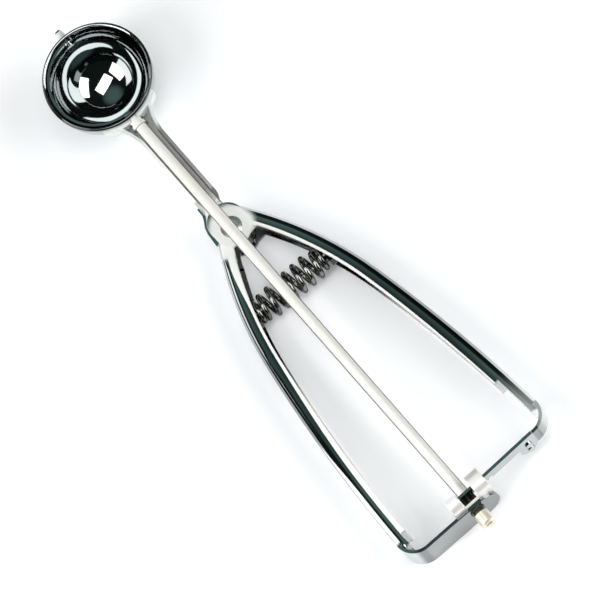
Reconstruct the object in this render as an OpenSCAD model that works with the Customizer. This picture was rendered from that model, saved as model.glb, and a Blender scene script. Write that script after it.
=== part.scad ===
// Lever ice cream scoop: a hemispherical bowl on a trough-shaped neck, two
// channel handles on one rivet, and a long shaft whose pinion is driven by a
// rack on the moving handle, so that squeezing sweeps a blade round the bowl.
// +X runs from the bowl to the handle ends, +Y to the moving handle, +Z up.
// The handles lie flat on the ground plane and the shaft slopes down to them.

/* [Bowl] */
// outer radius of the bowl
bowl_r = 17.3; // [14:0.1:22]
// sheet thickness of the bowl
bowl_wall = 0.8; // [0.6:0.1:1.2]
// straight band above the sphere's centre
bowl_band = 2.9; // [2:0.1:4]
// radius of the rolled rim bead
bead_r = 0.6; // [0.4:0.1:0.9]
// width of the scraper blade
blade_w = 6; // [4:0.5:8]
// thickness of the scraper blade
blade_t = 0.8; // [0.6:0.1:1]
// gap between the blade's corners and the bowl
blade_gap = 0.32; // [0.2:0.02:0.6]

/* [Shaft] */
// radius of the long shaft
shaft_r = 2; // [1.8:0.1:2.2]
// distance from the crossbar's top down to the shaft's axis at the pinion
bar_crown = 3.38; // [3.2:0.02:3.6]
// distance from the bowl's centre to the pinion's first face
pinion_x = 182.5; // [152.5:0.5:190]
// length of the pinion's toothed part
pinion_face = 3.3; // [3:0.1:4]
// length of the whole pinion
pinion_len = 11.6; // [10:0.1:14]

/* [Rack and pinion] */
// gear module
gear_m = 0.5; // [0.5:0.05:0.5]
// number of pinion teeth
pinion_teeth = 8; // [8:1:8]
// thickness of the rack
rack_t = 1.1; // [0.9:0.1:1.3]
// swing of the moving handle, from rest to closed
handle_swing = 2.9; // [2.5:0.1:2.9]

/* [Handles] */
// distance from the bowl's centre to the pivot rivet
pivot_x = 64; // [53.5:0.5:68]
// sideways offset of the pivot rivet and the neck
pivot_y = 0.6; // [0.4:0.1:0.8]
// height of the channel handles
handle_h = 11; // [10:0.1:13.2]
// width of the channel flanges
flange_w = 5; // [4:0.1:6]
// thickness of the handles' sheet
sheet = 1.1; // [0.9:0.1:1.2]
// outer edge radius of the channels
edge_r = 2.8; // [2:0.1:3]
// radius of the ears round the rivet
ear_r = 6.2; // [5.5:0.1:6.2]
// distance of the moving handle's back from the pivot
right_off = 9.2; // [8.8:0.1:10]
// heading of the moving handle at the pivot
right_head = 30.8; // [29:0.1:32]
// distance of the fixed handle's back from the pivot
left_off = 6.8; // [6.8:0.1:8]
// heading of the fixed handle at the pivot
left_head = 27.6; // [27:0.1:30]
// radius of the handles' first curve
curve_1 = 134; // [125:1:145]
// angle turned in the first curve
curve_1_turn = 19.1; // [18:0.1:20]
// radius of the handles' second curve
curve_2 = 546; // [450:1:700]
// outer radius of the corners at the handle ends
corner_r = 7; // [5:0.5:8]

/* [Spring] */
// distance from the bowl's centre to the spring
spring_x = 89.5; // [87:0.5:92]
// mean radius of the spring's coils
spring_r = 4.25; // [4:0.05:4.25]
// radius of the spring's wire
wire_r = 0.85; // [0.5:0.05:0.85]
// number of turns
spring_turns = 8.5; // [6.5:1:9.5]

/* [Hidden] */
$fn = 96;

steel = [0.78, 0.79, 0.8];
dark_steel = [0.42, 0.43, 0.44];
brass = [0.85, 0.74, 0.46];
play = 0.05;
slip = 0.1;
bowl_lift = 0.05;

bowl_in = bowl_r - bowl_wall;
bead_x = bowl_r + 0.2 - bead_r;
// the shaft clears the rivet, and a small bowl then hangs above the ground
bar_h = handle_h + 0.4;
shaft_end_z = bar_h - bar_crown;
rivet_crown = 0.65;
over_rivet = handle_h + play + rivet_crown + 0.3 + shaft_r;
pivot_share = pivot_x / pinion_x;
shaft_z = max(bowl_r + bowl_lift, (over_rivet - shaft_end_z * pivot_share) / (1 - pivot_share));
shaft_tilt = asin((shaft_z - shaft_end_z) / pinion_x);
blade_r = sqrt(pow(bowl_in - blade_gap, 2) - pow(blade_w / 2, 2));
blade_in = blade_r - blade_t;
far_pin_r = 0.8;
boss_r = 1.4;
boss_x = bowl_r + 3;
far_tip = boss_x + 0.6;
far_tip_r = 1.1;
journal_r = 1.6;
spigot_r = 1;

saddle_t = 1.1;
saddle_r = bowl_r + saddle_t;
saddle_w = 10;
saddle_low = -8;
neck_top = 1.4;
trough_r = 4;
trough_t = 1;
trough_end = pivot_x - 9;
knuckle_r = 2.6;
knuckle_x = saddle_r + 0.2;
knuckle_len = 2.4;
shaft_tip_r = 0.8;
pinion_blind = 4;

pitch_r = gear_m * pinion_teeth / 2;
tip_r = pitch_r + gear_m;
root_r = pitch_r - 1.25 * gear_m;
tooth_pitch = gear_m * PI;
tooth_mid = 1.24 * gear_m;
tooth_tip = 0.68 * gear_m;
tooth_top = sqrt(pow(tip_r - 0.03, 2) - pow(tooth_tip / 2, 2));
rack_tooth = 1.2 * gear_m;
rack_shift = 0.05;
bearing_r = tip_r + 0.075;
guide_r = tip_r + 0.4;

half_swing = handle_swing / 2;
end_low = 3.4;
rack_inset = 0.4;
leaf_t = 1;
leaf_gap = 0.15;
rack_x = pinion_x + rack_inset - pivot_x;
bar_x = pinion_x - pivot_x + pinion_face + leaf_gap + leaf_t + sheet;
rack_mid = rack_x + rack_t / 2;
rack_line = axis_z(pivot_x + rack_mid) + pitch_r + rack_shift;
rack_phase = -(pivot_y + rack_mid * sin(half_swing)) / cos(half_swing);
rack_root = rack_line + 1.2 * gear_m;
rack_top = rack_root + 3.6;
rack_rivet_z = [end_low + 2.2, handle_h - 1.8];
rack_rivet_r = 0.8;
guide_under = ceil(10 * (rack_top + 0.2)) / 10;

tongue_t = 1.1;
ear_low = sheet + slip;
ear_high = handle_h - sheet - slip;
tongue_top = ear_high - sheet;
rivet_r = 2.5;
rivet_head_r = 3.5;
rivet_sink_r = 3.3;
lead = 2.4;
joggle_x = 6;
joggle_turn = 0.5;
hair = 0.02;
flange_wrap = 20;
inner_ear_r = ear_r - 1;
tongue_r = 3.4;
spacer_r = 3.15;
end_w = 3.4;
nose = 2.6;
bar_reach = 8;
web_in = curve_1 - sheet;

spring_z = handle_h / 2 - slip;
spring_right = 16.4;
spring_left = -11.6;
seat_r = handle_h / 2 - sheet - 2 * slip;
end_coil_r = seat_r - wire_r;
seat_core_r = 2.6;
nose_gap = 0.3;
seat_nose_r = end_coil_r - wire_r - nose_gap;
seat_nose = 2.4;
seat_deep = 6;
tenon_r = 1.5;
tenon_len = 8;

// height of the shaft's axis above the ground plane at a given X
function axis_z(x) = shaft_z - x * tan(shaft_tilt);

// centres of a handle's two curves and of its end corner, seen from the pivot
// with +Y outwards and the end bar square to X
function mid_1(off, h, turn) = [
    off * sin(turn) + curve_1 * sin(h - turn),
    off * cos(turn) - curve_1 * cos(h - turn)
];
function mid_2(off, h, turn) = mid_1(off, h, turn)
    + (curve_2 - curve_1) * [sin(h - turn - curve_1_turn), -cos(h - turn - curve_1_turn)];
function corner(off, h, turn, bar) = [
    bar - corner_r,
    mid_2(off, h, turn).y
        + sqrt(pow(curve_2 - corner_r, 2) - pow(bar - corner_r - mid_2(off, h, turn).x, 2))
];

right_c = corner(right_off, right_head, half_swing, rack_x);
left_c = corner(left_off, left_head, 0, bar_x);
right_out = pivot_y + right_c.x * sin(half_swing) + right_c.y * cos(half_swing) + corner_r;
left_out = pivot_y - left_c.y - corner_r;
tab_y = right_c.y - 7.3;
tab_w = 6.6;
rack_rivet_y = tab_y + 3.4;
mid_x = ((pinion_x + pinion_len - far_tip) * cos(shaft_tilt)
    + (tip_r - far_tip_r) * sin(shaft_tilt)) / 2;
mid_y = (right_out + left_out) / 2;

module part() {
    translate([-mid_x, -mid_y, 0]) children();
}

module on_shaft() {
    translate([0, 0, shaft_z]) rotate([0, shaft_tilt, 0]) children();
}

module rod(r, x0, x1) {
    translate([x0, 0, 0]) rotate([0, 90, 0]) cylinder(r = r, h = x1 - x0);
}

module at_pivot(turn) {
    translate([pivot_x, pivot_y, 0]) rotate([0, 0, turn]) children();
}

// ---- bowl ----

module bowl_shell() {
    difference() {
        union() {
            sphere(r = bowl_r);
            cylinder(r = bowl_r, h = bowl_band);
            translate([0, 0, bowl_band - bead_r]) rotate_extrude() {
                translate([bead_x, 0]) circle(r = bead_r, $fn = 32);
                translate([bead_x, bead_r]) circle(r = bead_r, $fn = 32);
                translate([bead_x - bead_r, 0]) square([2 * bead_r, bead_r]);
            }
        }
        sphere(r = bowl_in);
        cylinder(r = bowl_in, h = bowl_band);
        difference() {
            translate([0, 0, bowl_band]) cylinder(r = bead_x, h = bowl_r);
            translate([0, 0, bowl_band - bead_r]) rotate_extrude() {
                translate([bead_x, bead_r]) circle(r = bead_r, $fn = 32);
            }
        }
    }
}

module bowl() {
    color(steel) part() on_shaft() difference() {
        bowl_shell();
        rod(journal_r + play, bowl_in / 2, bowl_r + 1);
        rod(far_pin_r, -bowl_r - 1, -bowl_in / 2);
    }
}

// ---- neck: saddle, funnel, trough and tongue ----

module funnel() {
    inner = trough_r - trough_t;
    rotate([0, 90, 0]) rotate([0, 0, -100]) rotate_extrude(angle = 200)
        polygon([
            [inner, trough_end], [inner, bowl_r + 8.4], [inner + 0.5, bowl_r + 5.8],
            [inner + 1.2, bowl_r + 3.2], [inner + 2.6, bowl_r - 0.1],
            [saddle_w - 1.3, bowl_r - 3.1], [saddle_w - 0.4, bowl_r - 3.1],
            [saddle_w - 0.4, bowl_r - 2.1], [trough_r + 2.5, bowl_r + 0.4],
            [trough_r + 1.1, bowl_r + 3.6], [trough_r + 0.4, bowl_r + 6.3],
            [trough_r, bowl_r + 8.8], [trough_r, trough_end]
        ]);
}

module saddle() {
    intersection() {
        sphere(r = saddle_r);
        translate([2, -saddle_w, saddle_low])
            cube([saddle_r, 2 * saddle_w, neck_top - saddle_low]);
    }
}

// the space taken by the bowl and its straight band, and a hair round it
module bowl_room() {
    sphere(r = bowl_r + hair);
    cylinder(r = bowl_r + hair, h = bowl_band);
}

module tongue() {
    wide = 5.8;
    drop = axis_z(pivot_x - 14) - trough_r + 0.3;
    under = tongue_top - tongue_t;
    translate([pivot_x, pivot_y + wide / 2, 0]) rotate([90, 0, 0]) linear_extrude(wide)
        polygon([
            [-15.4, drop + 0.95], [-15.4, drop - 0.15], [-8, under], [0, under],
            [0, tongue_top], [-7.4, tongue_top], [-13.8, drop + 0.95]
        ]);
    translate([pivot_x, pivot_y, under]) cylinder(r = tongue_r, h = tongue_t);
}

module neck() {
    color(steel) part() difference() {
        union() {
            on_shaft() difference() {
                union() {
                    translate([0, pivot_y, 0]) funnel();
                    saddle();
                }
                bowl_room();
                translate([0, -saddle_r, neck_top])
                    cube([2 * trough_end, 2 * saddle_r, saddle_r]);
                translate([trough_end, 0, neck_top]) rotate([0, 45, 0])
                    cube([6, 5 * trough_r, 6], center = true);
            }
            tongue();
        }
        on_shaft() rod(journal_r + 0.3, 12, saddle_r + 2);
        translate([pivot_x, pivot_y, 0]) cylinder(r = rivet_r, h = handle_h);
    }
}

// ---- blade and its pivots ----

module blade() {
    color(steel) part() on_shaft() difference() {
        union() {
            rotate([0, 0, 180]) rotate_extrude(angle = 180)
                translate([blade_in, -blade_w / 2]) square([blade_t, blade_w]);
            rod(blade_w / 2, blade_in, blade_r);
            rod(blade_w / 2, -blade_r, -blade_in);
        }
        rod(spigot_r, 0, blade_r + 1);
        rod(far_pin_r + play, -blade_r - 1, 0);
    }
}

module far_boss() {
    color(steel) part() on_shaft() difference() {
        rod(boss_r, -boss_x, -bowl_in);
        bowl_room();
        rod(far_pin_r, -boss_x - 1, 0);
    }
}

module far_pin() {
    color(steel) part() on_shaft() {
        rod(far_pin_r, -boss_x - 0.2, -blade_in + 0.3);
        rod(1.3, -blade_in + 0.15, -blade_in + 0.8);
        rod(far_tip_r, -far_tip, -boss_x);
    }
}

// ---- shaft and pinion ----

module shaft() {
    color(steel) part() on_shaft() difference() {
        union() {
            rod(1.4, blade_in - 0.65, blade_in - 0.05);
            rod(spigot_r, blade_in - 0.2, blade_r + play);
            rod(journal_r, blade_r + play, knuckle_x + 0.2);
            rod(knuckle_r, knuckle_x, knuckle_x + knuckle_len);
            rod(shaft_r, knuckle_x + knuckle_len, pinion_x);
            rod(shaft_tip_r, pinion_x - 0.2, pinion_x + pinion_len - pinion_blind);
        }
        for (side = [-1, 1])
            translate([knuckle_x + 0.7, side * knuckle_r, 0])
                cube([1, 1.5, 2 * knuckle_r + 1], center = true);
    }
}

module pinion_tooth() {
    polygon([
        [root_r / 2, -tooth_mid / 2], [pitch_r, -tooth_mid / 2], [tooth_top, -tooth_tip / 2],
        [tooth_top, tooth_tip / 2], [pitch_r, tooth_mid / 2], [root_r / 2, tooth_mid / 2]
    ]);
}

module pinion() {
    end = pinion_x + pinion_len;
    chamfer = 0.5;
    neck_in = pinion_x + pinion_face + 2.8;
    color(brass) part() on_shaft() difference() {
        union() {
            rod(root_r, pinion_x, pinion_x + pinion_face + 0.1);
            for (i = [0:pinion_teeth - 1])
                translate([pinion_x, 0, 0]) rotate([i * 360 / pinion_teeth, 0, 0])
                    rotate([90, 0, 90]) linear_extrude(pinion_face + 0.1) pinion_tooth();
            rod(tip_r, pinion_x + pinion_face, end - chamfer);
            translate([end - chamfer, 0, 0]) rotate([0, 90, 0])
                cylinder(r1 = tip_r, r2 = tip_r - chamfer, h = chamfer);
        }
        rod(shaft_tip_r, pinion_x - 1, end - pinion_blind);
        rod(tip_r / 2, end - 1.2, end + 1);
        translate([neck_in, 0, 0]) rotate([0, 90, 0]) rotate_extrude()
            translate([tip_r - 0.7, 0]) square([1, 1.3]);
    }
}

// ---- handles ----

// section of a channel whose back is at radius r; inset makes it a hair
// smaller all round, so that a stretch can run a little way into the next one
module channel(r, w, inset, z0 = 0, h = handle_h) {
    back = r - inset;
    low = z0 + inset;
    high = z0 + h - inset;
    mid_r = back - edge_r;
    t = sheet - 2 * inset;
    difference() {
        union() {
            translate([r - w + inset, low]) square([mid_r - r + w - inset, high - low]);
            translate([mid_r - 0.01, low + edge_r])
                square([edge_r + 0.01, high - low - 2 * edge_r]);
            translate([mid_r, low + edge_r]) circle(r = edge_r);
            translate([mid_r, high - edge_r]) circle(r = edge_r);
        }
        translate([r - w - 1, low + t]) square([mid_r - r + w + 1, high - low - 2 * t]);
        translate([mid_r - 0.01, low + edge_r])
            square([edge_r - t + 0.01, high - low - 2 * edge_r]);
        translate([mid_r, low + edge_r]) circle(r = edge_r - t);
        translate([mid_r, high - edge_r]) circle(r = edge_r - t);
    }
}

module sweep(mid, from, to) {
    translate(mid) rotate([0, 0, to]) rotate_extrude(angle = from - to, $fn = 180) children();
}

// the plate round the rivet, with its nose towards the neck, and the web
// that fills the corner between the plate and the flange
module ear(off, h, turn, z0, r, nose) {
    translate([0, 0, z0]) {
        cylinder(r = r, h = sheet);
        translate([-nose, 0, 0]) cylinder(r = r, h = sheet);
        intersection() {
            translate(mid_1(off, h, turn))
                cylinder(r = curve_1 - edge_r, h = sheet, $fn = 360);
            linear_extrude(sheet) polygon([
                [-4, 0], [-4, 9], [10, 16], [10, off + 1.2], [5, off - 3],
                [r - 0.3, -1.4], [0, 0]
            ]);
        }
    }
}

module handle(off, h, turn, bar, z0, tall, plates) {
    c_1 = mid_1(off, h, turn);
    c_2 = mid_2(off, h, turn);
    c_3 = corner(off, h, turn, bar);
    start = 90 + h - turn + lead;
    join = 90 + h - turn - curve_1_turn;
    end = atan2(c_3.y - c_2.y, c_3.x - c_2.x);
    narrow = plates ? end + 1.47 : end + 0.3;
    step = plates ? start : acos((joggle_x - c_1.x) / curve_1);
    sweep(c_1, step, join - 0.1) channel(curve_1, flange_w, hair);
    if (!plates) {
        sweep(c_1, start, step - joggle_turn)
            channel(curve_1, flange_w, hair, ear_low, handle_h - 2 * ear_low);
        sweep(c_1, step, step - joggle_turn) {
            translate([curve_1 - flange_w + 2 * hair, 2 * hair])
                square([flange_w - edge_r, ear_low + sheet / 2]);
            translate([curve_1 - flange_w + 2 * hair, ear_high - sheet / 2 - 2 * hair])
                square([flange_w - edge_r, handle_h - ear_high + sheet / 2]);
        }
    }
    difference() {
        sweep(c_2, join, end) channel(curve_2, flange_w, 0);
        sweep(c_2, narrow, end - 0.2) translate([curve_2 - flange_w - 1, -1])
            square([flange_w - end_w + 1, handle_h + 2]);
    }
    sweep(c_3, end + 1, end - flange_wrap) intersection() {
        channel(corner_r, end_w, 2 * hair);
        translate([corner_r - end_w + 3 * hair, z0 + 3 * hair]) square([end_w, handle_h]);
    }
    sweep(c_3, end + 2, -2) translate([corner_r - sheet + hair, z0 + hair])
        square([sheet - 2 * hair, tall - 2 * hair]);
}

module left_handle() {
    round = bar_h / 2;
    tip = pivot_y - bar_reach + round;
    color(steel) part() difference() {
        at_pivot(0) mirror([0, 1, 0]) {
            handle(left_off, left_head, 0, bar_x, 0, bar_h, false);
            ear(left_off, left_head, 0, ear_low, inner_ear_r, 0);
            ear(left_off, left_head, 0, ear_high - sheet, inner_ear_r, 0);
            translate([0, 0, ear_high - sheet]) linear_extrude(sheet)
                polygon([
                    [-12.5, 3.2], [-12.5, 4.5], [-9.7, 4.6], [-8.2, 5.2], [-6.2, 6.4],
                    [-4, 7], [1, left_off + 0.6], [1, 3.2]
                ]);
            translate([bar_x - sheet, tip, 0]) cube([sheet, left_c.y - tip, bar_h]);
            translate([0, tip, round]) rod(round, bar_x - sheet, bar_x);
        }
        on_shaft() rod(bearing_r, pinion_x, pinion_x + pinion_len);
        translate([pivot_x, pivot_y, -1]) cylinder(r = rivet_r, h = handle_h + 2);
        across(tenon_r, spring_left - tenon_len, spring_left);
    }
}

module right_handle() {
    color(steel) part() difference() {
        at_pivot(half_swing) {
            handle(right_off, right_head, half_swing, rack_x, end_low, handle_h - end_low, true);
            ear(right_off, right_head, half_swing, 0, ear_r, nose);
            ear(right_off, right_head, half_swing, handle_h - sheet, ear_r, nose);
            translate([rack_x - sheet, tab_y, end_low])
                cube([sheet, right_c.y - tab_y, handle_h - end_low]);
        }
        translate([pivot_x, pivot_y, -1]) cylinder(r = rivet_r + play, h = handle_h + 2);
        translate([pivot_x, pivot_y, slip + play])
            cylinder(r1 = rivet_sink_r + play, r2 = rivet_r, h = sheet - slip);
        translate([pivot_x, pivot_y, -1])
            cylinder(r = rivet_sink_r + play, h = 1 + slip + play + 0.001);
        across(tenon_r, spring_right, spring_right + tenon_len);
        at_pivot(half_swing) for (z = rack_rivet_z) rack_rivet_hole(z);
    }
}

module rack_rivet_hole(z) {
    translate([0, rack_rivet_y, z]) rod(rack_rivet_r, rack_x - 2 * sheet, rack_x + 2 * rack_t);
}

// ---- rack, its rivets and its guide ----

module rack_tooth_shape() {
    flank = tan(20);
    low = gear_m;
    high = 1.2 * gear_m;
    polygon([
        [-rack_tooth / 2 - high * flank, high + 0.01], [-rack_tooth / 2 - high * flank, high],
        [-rack_tooth / 2 + low * flank, -low], [rack_tooth / 2 - low * flank, -low],
        [rack_tooth / 2 + high * flank, high], [rack_tooth / 2 + high * flank, high + 0.01]
    ]);
}

module rack() {
    first = -2;
    last = 5;
    from = rack_phase + (first - 0.5) * tooth_pitch;
    to = rack_phase + (last + 1.5) * tooth_pitch;
    tip = rack_line - gear_m;
    foot = end_low + 0.4 + tab_w / 2;
    color(steel) part() at_pivot(half_swing) difference() {
        translate([rack_x, 0, 0]) rotate([90, 0, 90]) linear_extrude(rack_t) {
            translate([from, rack_root]) square([to - from + 0.01, rack_top - rack_root]);
            translate([to, tip]) square([tab_y + 1 - to, rack_top - tip]);
            translate([tab_y, foot]) square([tab_w, rack_top - foot]);
            translate([tab_y + tab_w / 2, foot]) circle(r = tab_w / 2);
            for (i = [first:last])
                translate([rack_phase + (i + 0.5) * tooth_pitch, rack_line]) rack_tooth_shape();
        }
        for (z = rack_rivet_z) rack_rivet_hole(z);
    }
}

module rack_rivets() {
    head = 0.5;
    head_r = 1.25;
    color(steel) part() at_pivot(half_swing) for (z = rack_rivet_z)
        translate([0, rack_rivet_y, z]) {
            rod(rack_rivet_r, rack_x - sheet - 0.2, rack_x + rack_t + 0.2);
            rod(head_r, rack_x - sheet - head, rack_x - sheet);
            rod(head_r, rack_x + rack_t, rack_x + rack_t + head);
        }
}

module rack_guide() {
    bend = 3;
    low = 3;
    tall = 8.6;
    hood_y = 3.1;
    hood_w = 4.9;
    cheek_y = -6.5;
    cheek_w = 4.3;
    lip = 1.2;
    leaf_x = pivot_x + bar_x - sheet;
    rear = leaf_x - bend;
    hood_x = rear - 1.95;
    cheek_x = rear - 1.65;
    top = guide_under + leaf_t;
    color(steel) part() difference() {
        union() {
            translate([leaf_x - leaf_t, cheek_y, low])
                cube([leaf_t, hood_y + hood_w - cheek_y, tall]);
            translate([leaf_x - leaf_t, hood_y, low]) cube([leaf_t, hood_w, top - low - bend]);
            translate([leaf_x - leaf_t, cheek_y, low]) cube([leaf_t, cheek_w, top - low - bend]);
            bent(rear, hood_y, top - bend, hood_w, 0, bend, leaf_t);
            bent(rear, cheek_y, top - bend, cheek_w, 0, bend, leaf_t);
            translate([hood_x, hood_y, guide_under]) cube([rear - hood_x, hood_w, leaf_t]);
            translate([cheek_x, cheek_y, guide_under]) cube([rear - cheek_x, cheek_w, leaf_t]);
            bent(hood_x, hood_y, top - bend, hood_w, 90, bend, leaf_t);
            translate([hood_x - bend, hood_y, top - bend - lip]) cube([leaf_t, hood_w, lip + 0.01]);
        }
        on_shaft() rod(guide_r, pinion_x - 2, pinion_x + pinion_len);
    }
}

// a quarter bend of sheet about a Y axis
module bent(x, y, z, wide, from, r, t) {
    translate([x, y + wide, z]) rotate([90, 0, 0]) rotate([0, 0, from])
        rotate_extrude(angle = 90) translate([r - t, 0]) square([t, wide]);
}

// ---- pivot ----

module pivot_rivet() {
    color(steel) part() translate([pivot_x, pivot_y, 0]) {
        translate([0, 0, sheet]) cylinder(r = rivet_r, h = handle_h - sheet + 0.1);
        translate([0, 0, slip]) cylinder(r1 = rivet_sink_r, r2 = rivet_r, h = sheet - slip);
        translate([0, 0, handle_h + play]) cylinder(r = rivet_head_r, h = rivet_crown / 2);
        translate([0, 0, handle_h + play + rivet_crown / 2])
            cylinder(r1 = rivet_head_r, r2 = rivet_head_r - 1.2, h = rivet_crown / 2);
    }
}

module pivot_spacer() {
    low = ear_low + sheet;
    color(steel) part() translate([pivot_x, pivot_y, low]) difference() {
        cylinder(r = spacer_r, h = tongue_top - tongue_t - low);
        translate([0, 0, -1]) cylinder(r = rivet_r, h = handle_h);
    }
}

// ---- spring and its seats ----

module across(r, y0, y1) {
    translate([spring_x, y0, spring_z]) rotate([-90, 0, 0]) cylinder(r = r, h = y1 - y0);
}

// the space inside a handle's first curve, out to a given radius
module inside_curve(side, off, h, turn, r) {
    at_pivot(turn) mirror([0, side, 0]) translate(mid_1(off, h, turn))
        cylinder(r = r, h = handle_h, $fn = 360);
}

module left_spring_seat() {
    color(steel) part() {
        intersection() {
            inside_curve(1, left_off, left_head, 0, curve_1 - edge_r);
            across(seat_r, spring_left - seat_deep, spring_left);
        }
        intersection() {
            inside_curve(1, left_off, left_head, 0, web_in);
            across(seat_core_r, spring_left - seat_deep, spring_left - slip);
        }
        intersection() {
            inside_curve(1, left_off, left_head, 0, curve_1);
            across(tenon_r, spring_left - tenon_len, spring_left - slip);
        }
        across(seat_nose_r, spring_left - slip, spring_left + seat_nose);
    }
}

module right_spring_seat() {
    color(steel) part() {
        intersection() {
            inside_curve(0, right_off, right_head, half_swing, curve_1 - edge_r);
            across(seat_r, spring_right, spring_right + seat_deep);
        }
        intersection() {
            inside_curve(0, right_off, right_head, half_swing, web_in);
            across(seat_core_r, spring_right + slip, spring_right + seat_deep);
        }
        intersection() {
            inside_curve(0, right_off, right_head, half_swing, curve_1);
            across(tenon_r, spring_right + slip, spring_right + tenon_len);
        }
        across(seat_nose_r, spring_right - seat_nose, spring_right + slip);
    }
}

// height of the wire's centre along the spring: closed end turns, open middle
spring_steps = 16;
wire_sides = 8;
dead = 1;
shut_pitch = 2.1 * wire_r;
spring_low = spring_left + wire_r + hair;
spring_len = spring_right - spring_left - 2 * wire_r - 2 * hair;
open_pitch = (spring_len - 2 * dead * shut_pitch) / (spring_turns - 2 * dead);
function rise(t) = t < dead ? shut_pitch * t
    : t > spring_turns - dead
        ? spring_len - shut_pitch * (spring_turns - t)
        : shut_pitch * dead + open_pitch * (t - dead);
function coil_r(t) = let (n = min(t, spring_turns - t), s = min(1, max(0, (n - dead) / 0.6)))
    end_coil_r + (spring_r - end_coil_r) * s * s * (3 - 2 * s);
function wire_point(k, j) =
    let (t = k / spring_steps, a = 360 * t, b = 360 * j / wire_sides,
        r = coil_r(t) + wire_r * cos(b))
    [spring_x + r * cos(a), spring_low + rise(t) + wire_r * sin(b), spring_z + r * sin(a)];

module spring() {
    last = spring_turns * spring_steps;
    points = [for (k = [0:last]) for (j = [0:wire_sides - 1]) wire_point(k, j)];
    walls = [for (k = [0:last - 1]) for (j = [0:wire_sides - 1])
        let (a = k * wire_sides + j, b = k * wire_sides + (j + 1) % wire_sides)
        for (f = [[a, b, b + wire_sides], [a, b + wire_sides, a + wire_sides]]) f];
    caps = [[for (j = [wire_sides - 1:-1:0]) j],
        [for (j = [0:wire_sides - 1]) last * wire_sides + j]];
    color(dark_steel) part() polyhedron(points = points, faces = concat(walls, caps));
}

bowl();
neck();
blade();
far_boss();
far_pin();
shaft();
pinion();
left_handle();
right_handle();
rack();
rack_rivets();
rack_guide();
pivot_rivet();
pivot_spacer();
spring();
left_spring_seat();
right_spring_seat();
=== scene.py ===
# %% [markdown]
# # A lever ice cream scoop
# The engineering model already gives every real part its exact shape: bowl, neck, blade, two
# sprung handles, rack and pinion. This notebook dresses that model. It makes the finishes,
# softens the pressed edges, winds a fine spring, and adds the table, the lamps and the camera.
# Each step says what it stands for on the real scoop, and why it is made this way.

# %% imports
import math
import bpy
import bmesh
from mathutils import Matrix, Vector


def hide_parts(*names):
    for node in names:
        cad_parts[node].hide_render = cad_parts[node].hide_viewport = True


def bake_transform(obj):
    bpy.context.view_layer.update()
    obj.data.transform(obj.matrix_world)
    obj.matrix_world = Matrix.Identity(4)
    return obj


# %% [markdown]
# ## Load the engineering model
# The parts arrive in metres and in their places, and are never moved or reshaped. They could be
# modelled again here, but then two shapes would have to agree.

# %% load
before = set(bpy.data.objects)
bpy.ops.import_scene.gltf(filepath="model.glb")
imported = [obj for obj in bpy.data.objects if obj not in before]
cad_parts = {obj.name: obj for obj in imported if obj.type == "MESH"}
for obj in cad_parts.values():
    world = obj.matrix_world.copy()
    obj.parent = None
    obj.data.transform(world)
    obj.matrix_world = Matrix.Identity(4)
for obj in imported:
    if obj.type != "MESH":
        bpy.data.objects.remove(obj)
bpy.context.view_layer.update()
MM = 0.001
print("parts", sorted(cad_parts))

# %% [markdown]
# ## Main places
# The finishes hang on two points: the middle of the bowl's mouth and the rivet that the handles
# turn on. Both are given as on a drawing, in millimetres from the bowl's centre line, and moved
# into the frame, whose origin lies under the middle of the tool.

# %% places
# How far the frame's origin lies from the bowl's centre line, along and across the tool.
MID = Vector((86.5226, 4.88056, 0)) * MM


def place(x, y, z):
    """A point in millimetres from the bowl's centre line, as a position in the scene."""
    return Vector((x, y, z)) * MM - MID


BOWL = place(0, 0, 17.35)
PIVOT = place(64, 0.6, 0)
print("bowl", [round(v, 4) for v in BOWL], "rivet", [round(v, 4) for v in PIVOT])

# %% [markdown]
# ## Laying nodes
# A material is a small network: values flow along links from node to node, and end in the
# sockets of a shader. It can be drawn by hand in the editor. A few helpers lay it out here
# instead, so that every metal can have the same network with its own numbers.

# %% node helpers
COLUMNS = 8
COLUMN_WIDTH = 220
ROW_HEIGHT = 280


def add(tree, kind, **options):
    """A new node with its options set, laid out in rows so that the editor shows it free."""
    spot = len(tree.nodes)
    node = tree.nodes.new(kind)
    node.location = (COLUMN_WIDTH * (spot % COLUMNS), -ROW_HEIGHT * (spot // COLUMNS))
    for key, value in options.items():
        setattr(node, key, value)
    return node


def feed(tree, value, socket):
    """Link an output to a socket, or write a plain value into it."""
    if hasattr(value, "is_output"):
        tree.links.new(value, socket)
    else:
        socket.default_value = value


def plug(tree, kind, sockets, **options):
    """A new node whose sockets are fed by name."""
    node = add(tree, kind, **options)
    for label, value in sockets.items():
        feed(tree, value, node.inputs[label])
    return node


print("nodes are laid in rows of", COLUMNS)

# %% [markdown]
# ## Sums, steps and mixes
# Masks are made by arithmetic: a smooth step turns a distance into a value between two levels,
# a product keeps what two masks share, and a maximum joins them. The same could be painted on
# an image, but a formula stays sharp at any size and follows the part's real measures.

# %% node arithmetic
RISE = (0.0, 1.0)
FALL = (1.0, 0.0)
GIVES_NUMBER = ("DISTANCE", "LENGTH", "DOT_PRODUCT")
# A Mix node has sockets of the same name for each kind, so they are told apart by number:
# the first value, the second one and the result.
MIX_SOCKETS = {"FLOAT": (2, 3, 0), "RGBA": (6, 7, 2)}


def calculate(tree, operation, first, second=0.0):
    node = add(tree, "ShaderNodeMath", operation=operation)
    feed(tree, first, node.inputs[0])
    feed(tree, second, node.inputs[1])
    return node.outputs[0]


def product(tree, first, *others):
    for other in others:
        first = calculate(tree, "MULTIPLY", first, other)
    return first


def highest(tree, first, *others):
    for other in others:
        first = calculate(tree, "MAXIMUM", first, other)
    return first


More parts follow.
